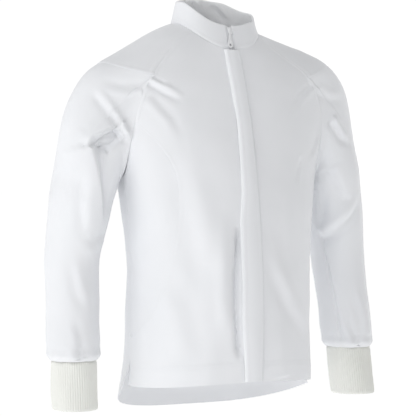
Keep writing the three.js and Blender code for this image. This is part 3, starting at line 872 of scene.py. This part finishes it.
cuffFullness = {"out": 4.6, "height": 131, "spread": 9, "pleats": 1.0, "pleatFoot": 122, "pleatRise": 34,
                "middle": (313, 6)}
sleeveBend = {"way": (0.75, 0, -0.66), "from": 90, "to": 216, "elbow": 48}


def fullAtCuff(points):  # the wide sleeve stands over the cuff and is gathered into it
    x, y = cuffFullness["middle"]
    fall = 1 - smooth((points[:, 2] - cuffFullness["pleatFoot"]) / cuffFullness["pleatRise"])
    turn = np.arctan2(points[:, 1] - y, np.abs(points[:, 0]) - x)
    pleats = cuffFullness["pleats"] * fall * (np.sin(turn * 9 + 0.6) + 0.5 * np.sin(turn * 17 + 2))
    swell = bell((points[:, 2] - cuffFullness["height"]) / cuffFullness["spread"])
    return cuffFullness["out"] * swell + pleats


def makeSleeves():
    for name, side in sides.items():
        folds = rightSleeveFolds if side < 0 else leftSleeveFolds
        folds = folds + [freeFold(k, d, w, [(side * x, y, z) for x, y, z in line], ends=(0.3, 0.3))
                         for k, d, w, line in elbowBack]
        tip = onSleeve(side, 0, 0)
        elbow, above = onSleeve(side, 90, 3), np.array([0, 0, sleeveBend["elbow"]])
        split = sleeveCut["split"]
        for part, start, end in (("upper", 0, split), ("lower", split, sleeveCut["end"])):
            for layer, a, b in (("top", sleeveCut["hind"] - 360, sleeveCut["fore"]),
                                ("under", sleeveCut["fore"], sleeveCut["hind"])):
                seams = ("lap", "lap") if layer == "top" else ("under", "under")
                ends = ("under", "none") if part == "upper" else ("none", "under")
                sleeve = makePanel(f"{part}Sleeve_{layer}_{name}", sleevePart(a, b, start, end),
                                   (*seams, *ends), folds, side, bulge=sleeveShift(name, side),
                                   relief=fullAtCuff, seamDepth=seamDepths["sleeve"])
                cad = "upper" if part == "upper" else "fore"
                standFor(sleeve, "shell_cloth", f"sleeve_{cad}_{layer}_{name}")
                if part == "upper":
                    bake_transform(sleeve)
                else:
                    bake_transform(sleeve)


makeSleeves()
print("sleeves done")

# rib cuffs
cuffShape = {"top": (44, 49), "bottom": (44.5, 48), "shiftX": 3, "shiftY": -16, "length": 98, "seam": 0.6,
             "thick": 2.2, "ribs": 60, "ribHeight": 0.4, "rows": 40, "flat": (0.292, 0.098)}  # flat in metres


def makeCuff(name, side):
    columns = cuffShape["ribs"] * 8
    bm, column, row = gridMesh(columns, cuffShape["rows"])
    turn = 2 * math.pi * column / columns
    v = row / cuffShape["rows"]
    tuck = 1.6 * (bell(v / 0.05) + bell((1 - v) / 0.025)) - 0.7 * bell((v - 0.5) / 0.4)
    ribs = cuffShape["ribHeight"] * power(np.cos(turn * cuffShape["ribs"]), 0.7) * (1 - bell((1 - v) / 0.012))
    soft = 0.7 * np.sin(turn * 3 + 5 * v) + 0.5 * np.sin(turn * 5 - 4 * v + 1)
    grow = ribs + soft - tuck
    across = mix(cuffShape["top"][0], cuffShape["bottom"][0], v) + grow
    deep = mix(cuffShape["top"][1], cuffShape["bottom"][1], v) + grow
    wristX, wristY, wristZ = [armRings[way][-1] for way in "xyz"]
    x = wristX + cuffShape["shiftX"] * v + across * np.cos(turn)
    y = wristY + cuffShape["shiftY"] * v - deep * np.sin(turn)
    z = wristZ - cuffShape["seam"] - cuffShape["length"] * v
    for vertex, point in zip(bm.verts, np.stack([side * x, y, z], -1)):
        vertex.co = Vector((point - hold) / 1000)
    uvLayer = bm.loops.layers.uv.verify()
    for face in bm.faces:
        for loop in face.loops:
            loop[uvLayer].uv = [place * size for place, size in zip(loop[uvLayer].uv, cuffShape["flat"])]
    bmesh.ops.remove_doubles(bm, verts=bm.verts, dist=1e-6)
    bmesh.ops.recalc_face_normals(bm, faces=bm.faces)
    cuff = newObject(f"ribCuff_{name}", bm, ribKnit)
    wall = cuff.modifiers.new("wall", "SOLIDIFY")
    wall.thickness, wall.offset = cuffShape["thick"] / 1000, -1
    cuff.data.shade_smooth()
    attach(cuff, f"forearm_{name}")
    standFor(cuff, "rib_knit", f"rib_cuff_{name}")


for name, side in sides.items():
    makeCuff(name, side)
print("cuffs done")

# facings, zip tapes, loop and label
facingShape = {"inset": 3.7, "width": 58, "foot": 80, "widest": 0.55}
tapeShape = {"inner": 1, "outer": 15, "depth": -2, "low": 81, "high": 778}
labelShape = {"width": 34, "foot": 10.25, "top": 10.8}  # foot and top counted in torso rings
loopShape = {"span": 62, "drop": 16, "width": 10.2}


def facingStrip(u, v):
    t = mix(float(ringAt(torsoRings["front"], facingShape["foot"])), cut["neck"] - 0.1, v)
    half = along(torsoRings["half"], t)
    width = np.minimum(facingShape["width"], facingShape["widest"] * half)
    return torso(mix(frontAngle(half, cut["zipEdge"]), frontAngle(half, width), u), t)


def zipTape(u, v):
    z = mix(tapeShape["low"], tapeShape["high"], v)
    x = mix(tapeShape["inner"], tapeShape["outer"], u)
    return np.stack([x, frontDepth(z, tapeShape["depth"]), z], -1)


def labelPatch(u, v):
    t = mix(labelShape["foot"], labelShape["top"], v)
    spread = degreesOf(labelShape["width"], t)
    return torso(180 + mix(-spread / 2, spread / 2, u), t)


def hangerLoop(u, v):
    x = mix(-0.5, 0.5, u) * loopShape["span"]
    sag = loopShape["drop"] * (1 - (2 * x / loopShape["span"]) ** 2)
    neckHalf = torsoRings["half"][cut["neck"]]
    base = collarPoint(np.array([180 - frontAngle(neckHalf, loopShape["span"] / 2)]), 0.1)[0]
    twist = 1.2 * np.sin(math.pi * u) * (v - 0.5)
    return np.stack([x, base[1] - 6.3 + twist, base[2] - sag + (v - 0.5) * loopShape["width"]], -1)


def makeInside():
    for name, side in sides.items():
        # the facings share the lining colour and its painted light
        facing = makePanel(f"facing_{name}", facingStrip, ("none", "under", "none", "none"), bodyFolds, side,
                           coarse=7, inset=facingShape["inset"], finish=liningWeaveWithPaintedLight)
        sewOn(facing, "lining", f"front_facing_{name}")
        tape = makePanel(f"zipTape_{name}", zipTape, ("none", "none", "none", "none"), (), side, coarse=3,
                         uneven=0, finish=tapeWeave, seamLines=False)
        sewOn(tape, "woven_tape", f"zip_tape_{name}")
    label = makePanel("neckLabel", labelPatch, ("none",) * 4, (), coarse=2, inset=1.4, thick=0.5, uneven=0.3,
                      finish=tapeWeave, seamLines=False)
    sewOn(label, "woven_tape", "size_label")
    loop = makePanel("hangerLoop", hangerLoop, ("none",) * 4, (), coarse=1.5, thick=0.9, uneven=0,
                     finish=tapeWeave, seamLines=False)
    sewOn(loop, "woven_tape", "hanger_loop")


makeInside()

# zip
teethShape = {"pitch": 2.0, "low": 94, "high": 768, "inner": 0.35, "outer": 3.1, "tall": 1.25, "thick": 1.5}
sliderShape = {"width": 9.6, "length": 13, "thick": 1.8, "height": 770, "gap": 0.35, "seat": 0.8}
pullShape = {"length": 44, "top": 2.2, "bottom": 5.75, "thick": 1.2, "hole": 2.6, "swing": 9, "grips": 9,
             "gripPitch": 2.2}
boxShape = {"size": (7.2, 2.2, 8), "height": 88}


def zipTurn(height):  # tilt of the centre front at a height
    return -math.asin((height - frontArc["z"]) / frontArc["radius"])


def zipPlace(height, lift=0.0, x=0.0):
    tilt = Matrix.Rotation(zipTurn(height), 4, "X")
    spot = Vector((x, float(frontDepth(np.float64(height))), height))
    spot += tilt.to_3x3() @ Vector((0, -lift, 0))
    return Matrix.Translation((spot - Vector(hold)) / 1000) @ tilt @ Matrix.Scale(0.001, 4)


def roundedBox(bm, size, place, radius, steps=2):
    made = bmesh.ops.create_cube(bm, size=1, matrix=Matrix.Diagonal((*size, 1)))["verts"]
    edges = list({e for v in made for e in v.link_edges})
    done = bmesh.ops.bevel(bm, geom=edges, offset=radius, segments=steps, affect="EDGES", profile=0.5,
                           material=-1)
    shape = {v for f in done["faces"] for v in f.verts} | {v for v in made if v.is_valid}
    bmesh.ops.transform(bm, matrix=place, verts=list(shape))


def softShade(obj):
    obj.data.shade_smooth()
    obj.data.set_sharp_from_angle(angle=math.radians(40))


def makeTeeth(name, side):
    bm = bmesh.new()
    count = int((teethShape["high"] - teethShape["low"]) / teethShape["pitch"])
    middle = (teethShape["inner"] + teethShape["outer"]) / 2
    size = (teethShape["outer"] - teethShape["inner"], teethShape["thick"], teethShape["tall"])
    for k in range(count):
        height = teethShape["low"] + (k + 0.25 + 0.5 * (side > 0)) * teethShape["pitch"]
        place = zipPlace(height, 0, side * middle)
        bmesh.ops.create_cube(bm, size=1, matrix=place @ Matrix.Diagonal((*size, 1)))
    teeth = newObject(f"zipTeeth_{name}", bm, nylon)
    round_ = teeth.modifiers.new("rounding", "BEVEL")
    round_.width, round_.segments = 0.0002, 1
    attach(teeth, "shell")
    standFor(teeth, "nylon", f"zip_teeth_{name}")


def makeSlider():
    bm = bmesh.new()
    lift = sliderShape["seat"] + sliderShape["gap"] + sliderShape["thick"] / 2
    plate = (sliderShape["width"], sliderShape["thick"], sliderShape["length"])
    place = zipPlace(sliderShape["height"], lift)
    roundedBox(bm, plate, place, 0.7, 3)
    slider = newObject("zipSlider", bm, nylon)
    softShade(slider)
    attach(slider, "zip_slider")
    standFor(slider, "nylon", "zip_slider")


def pullOutline():
    top, low, length = pullShape["top"], pullShape["bottom"], pullShape["length"]
    half = [top, top, top + 0.6, mix(top, low, 0.55), low - 0.4]  # slim, then widening to the round end
    down = [0, -0.3, -0.45, -0.62, -0.76]
    arc = [(low * math.cos(a), -length + low - low * math.sin(a)) for a in np.linspace(0, math.pi / 2, 9)]
    right = [(x, share * length) for x, share in zip(half, down)] + arc
    return right + [(-x, z) for x, z in reversed(right[:-1])]


def makePull():
    lift = sliderShape["seat"] + sliderShape["gap"] * 2 + sliderShape["thick"]
    bm = bmesh.new()
    ring = [bm.verts.new((x, 0, z)) for x, z in pullOutline()]
    middle = Matrix.Translation((0, 0, -pullShape["length"] + pullShape["bottom"] + 1))
    hole = bmesh.ops.create_circle(bm, segments=20, radius=pullShape["hole"],
                                   matrix=middle @ Matrix.Rotation(math.pi / 2, 4, "X"))["verts"]
    rim = [bm.edges.new((a, b)) for a, b in zip(ring, ring[1:] + ring[:1])]
    inner = list({e for v in hole for e in v.link_edges})
    bmesh.ops.triangle_fill(bm, edges=rim + inner, use_beauty=True)
    grown = bmesh.ops.extrude_face_region(bm, geom=bm.faces[:])
    bmesh.ops.translate(bm, vec=(0, -pullShape["thick"], 0),
                        verts=[v for v in grown["geom"] if isinstance(v, bmesh.types.BMVert)])
    bmesh.ops.recalc_face_normals(bm, faces=bm.faces)
    bmesh.ops.dissolve_limit(bm, angle_limit=0.01, verts=bm.verts, edges=bm.edges)
    corners = [e for e in bm.edges if e.is_manifold and e.calc_face_angle(0) > 1.0]
    bmesh.ops.bevel(bm, geom=corners, offset=0.35, segments=2, affect="EDGES", profile=0.5, material=-1)
    seat = zipPlace(sliderShape["height"], lift) @ Matrix.Translation((0, 0, sliderShape["length"] / 2 - 2))
    seat = seat @ Matrix.Rotation(math.radians(pullShape["swing"]), 4, "Y")
    bmesh.ops.transform(bm, matrix=seat, verts=bm.verts)
    for k in range(pullShape["grips"]):  # grip ribs down the slim part
        place = seat @ Matrix.Translation((0, -pullShape["thick"], -10 - pullShape["gripPitch"] * k))
        roundedBox(bm, (3.4, 0.5, 0.8), place, 0.15, 1)
    pull = newObject("zipPull", bm, nylon)
    softShade(pull)
    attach(pull, "zip_pull")
    standFor(pull, "nylon", "zip_pull")


def makeBottomBox():
    bm = bmesh.new()
    roundedBox(bm, boxShape["size"], zipPlace(boxShape["height"]), 0.5, 2)
    box = newObject("zipBottomBox", bm, nylon)
    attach(box, "shell")
    standFor(box, "nylon", "zip_bottom_box")


for name, side in sides.items():
    makeTeeth(name, side)
makeSlider()
makePull()
makeBottomBox()
print("zip done")

# stage, light and camera
studio = {"floorDrop": 0.9, "floorSize": 60, "skyDim": 0.26, "skyBright": 0.74, "backdrop": 1.05,
          "skyLean": 52, "skyFall": -0.2, "lampAim": (0, -0.05, -0.4)}
view = {"turn": -27, "distance": 4.1, "height": -0.26, "lens": 174.8, "aimSide": -0.0162, "aimDrop": -0.1177}
lamps = {  # place, size and watts
    "keyFromLeft": ((-4.0, -0.9, 0.3), 1.8, 24),
    "highFill": ((-2.2, -2.6, 2.3), 1.2, 32),
    "rimFromRight": ((3.0, 0.9, 0.6), 1.6, 24),
}


def makeStage():
    bm = bmesh.new()
    bmesh.ops.create_grid(bm, x_segments=1, y_segments=1, size=studio["floorSize"],
                          matrix=Matrix.Translation((0, 0, cadBounds[0][2] - studio["floorDrop"])))
    # matt painted sweep: even and nearly white, with no edge where it meets the backdrop
    paint, _, surface = newMaterial("paintedSweep", "#FBFBFB", 0.9)
    surface.inputs["Emission Color"].default_value = (1, 1, 1, 1)
    surface.inputs["Emission Strength"].default_value = 0.5
    newObject("studioFloor", bm, paint)
    # the sky is white ahead and to the left and dimmer behind, like a tent lit from one side
    world = bpy.data.worlds.new("lightTent")
    world.use_nodes = True
    tree = world.node_tree
    turn = math.radians(view["turn"] + studio["skyLean"])
    place = addNode(tree, "ShaderNodeTexCoord")
    facing = addNode(tree, "ShaderNodeVectorMath", {"operation": "DOT_PRODUCT"})
    tree.links.new(place.outputs["Generated"], facing.inputs[0])
    facing.inputs[1].default_value = (-math.sin(turn), math.cos(turn), studio["skyFall"])
    level = addNode(tree, "ShaderNodeMapRange",
                    {"From Min": -1.0, "From Max": 0.5, "To Min": studio["skyDim"],
                     "To Max": studio["skyBright"]}, Value=facing.outputs["Value"])
    # the backdrop itself is seen white, and lights the cloth less than it shows
    seen = addNode(tree, "ShaderNodeLightPath")
    strength = addNode(tree, "ShaderNodeMix", {"B": studio["backdrop"]}, Factor=seen.outputs["Is Camera Ray"],
                       A=level.outputs["Result"])
    tree.links.new(strength.outputs["Result"], tree.nodes["Background"].inputs["Strength"])
    tree.nodes["Background"].inputs["Color"].default_value = (1, 1, 1, 1)
    bpy.context.scene.world = world


def addLamp(name, place, size, watts):
    light = bpy.data.lights.new(name, "AREA")
    light.shape, light.size, light.energy = "SQUARE", size, watts
    lamp = bpy.data.objects.new(name, light)
    bpy.context.scene.collection.objects.link(lamp)
    lamp.location = place
    lamp.rotation_euler = (Vector(studio["lampAim"]) - Vector(place)).to_track_quat("-Z", "Y").to_euler()


def makeCamera():
    turn = math.radians(view["turn"])
    right = Vector((math.cos(turn), math.sin(turn), 0))
    ahead = Vector((-math.sin(turn), math.cos(turn), 0))
    axis = Vector((0, -hold[1] / 1000, view["height"]))
    data = bpy.data.cameras.new("camera")
    data.lens, data.sensor_width = view["lens"], 36
    camera = bpy.data.objects.new("camera", data)
    bpy.context.scene.collection.objects.link(camera)
    camera.location = axis - ahead * view["distance"]
    aim = axis + right * view["aimSide"] + Vector((0, 0, view["aimDrop"]))
    camera.rotation_euler = (aim - camera.location).to_track_quat("-Z", "Y").to_euler()
    bpy.context.scene.camera = camera


makeStage()
for name, (place, size, watts) in lamps.items():
    addLamp(name, place, size, watts)
makeCamera()
bpy.context.scene.view_settings.view_transform = "Standard"
print("stage done")
